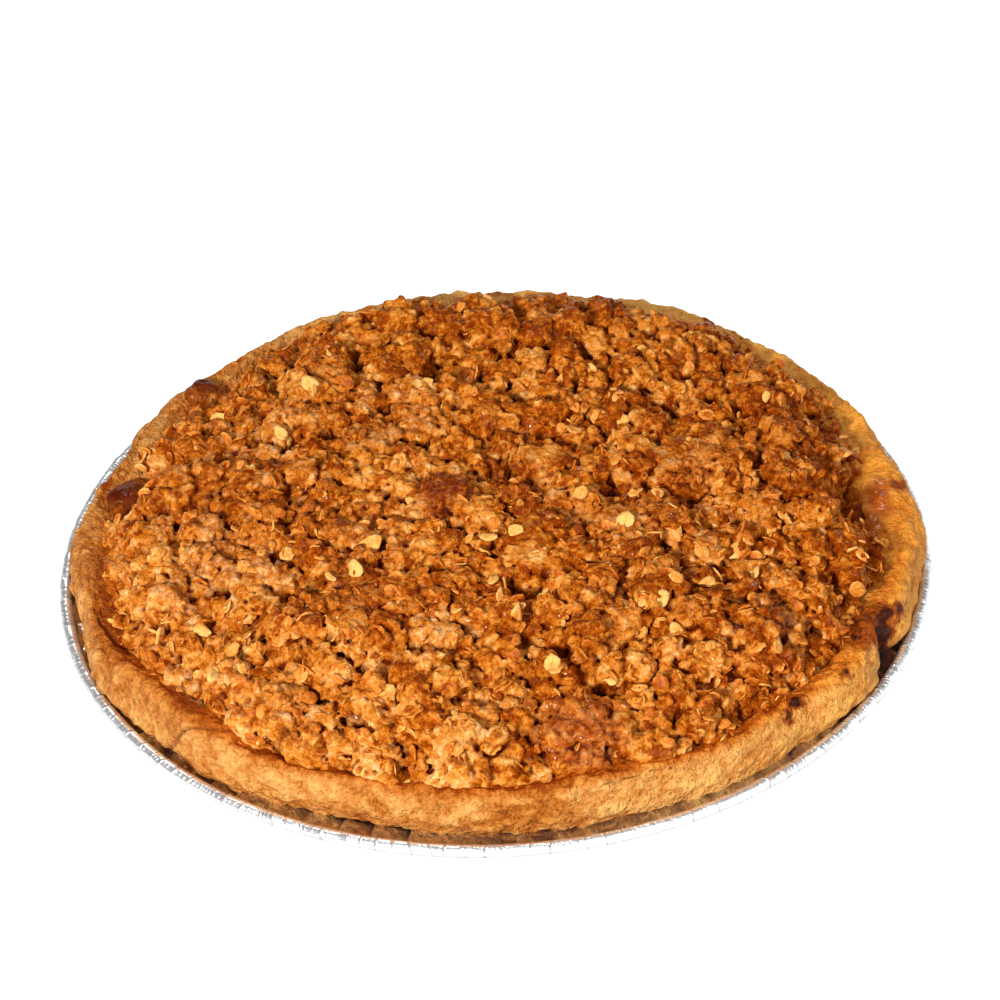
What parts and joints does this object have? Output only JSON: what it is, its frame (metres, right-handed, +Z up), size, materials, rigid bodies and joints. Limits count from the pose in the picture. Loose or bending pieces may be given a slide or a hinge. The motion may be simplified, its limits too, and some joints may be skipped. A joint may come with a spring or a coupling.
{
  "type": "apple crumble pie in a foil tin",
  "caption": "Round apple crumble pie with a rolled pastry rim, a mounded oat crumble top and set syrup spots, in its own pleated foil tin.",
  "frame": {"origin": "middle of the underside of the tin, on the surface that it stands on", "axes": "+Z up, -Y towards the front of the picture, +X to the right"},
  "size_m": [0.2444, 0.2444, 0.0552],
  "materials": {
    "foil": "bright pressed foil, wrinkled and crimped",
    "crust": "baked pastry, golden, satin where fat has baked into it",
    "crumble": "baked oat and sugar crumble, rough, with glossy sugar spots",
    "syrup": "set caramelised juice, glossy"
  },
  "bodies": {
    "root": {"foil_tin": "foil", "pie_crust": "crust", "crumble_topping": "crumble", "syrup_pool_back_left": "syrup", "syrup_pool_left": "syrup", "syrup_pool_right": "syrup"}
  },
  "joints": []
}
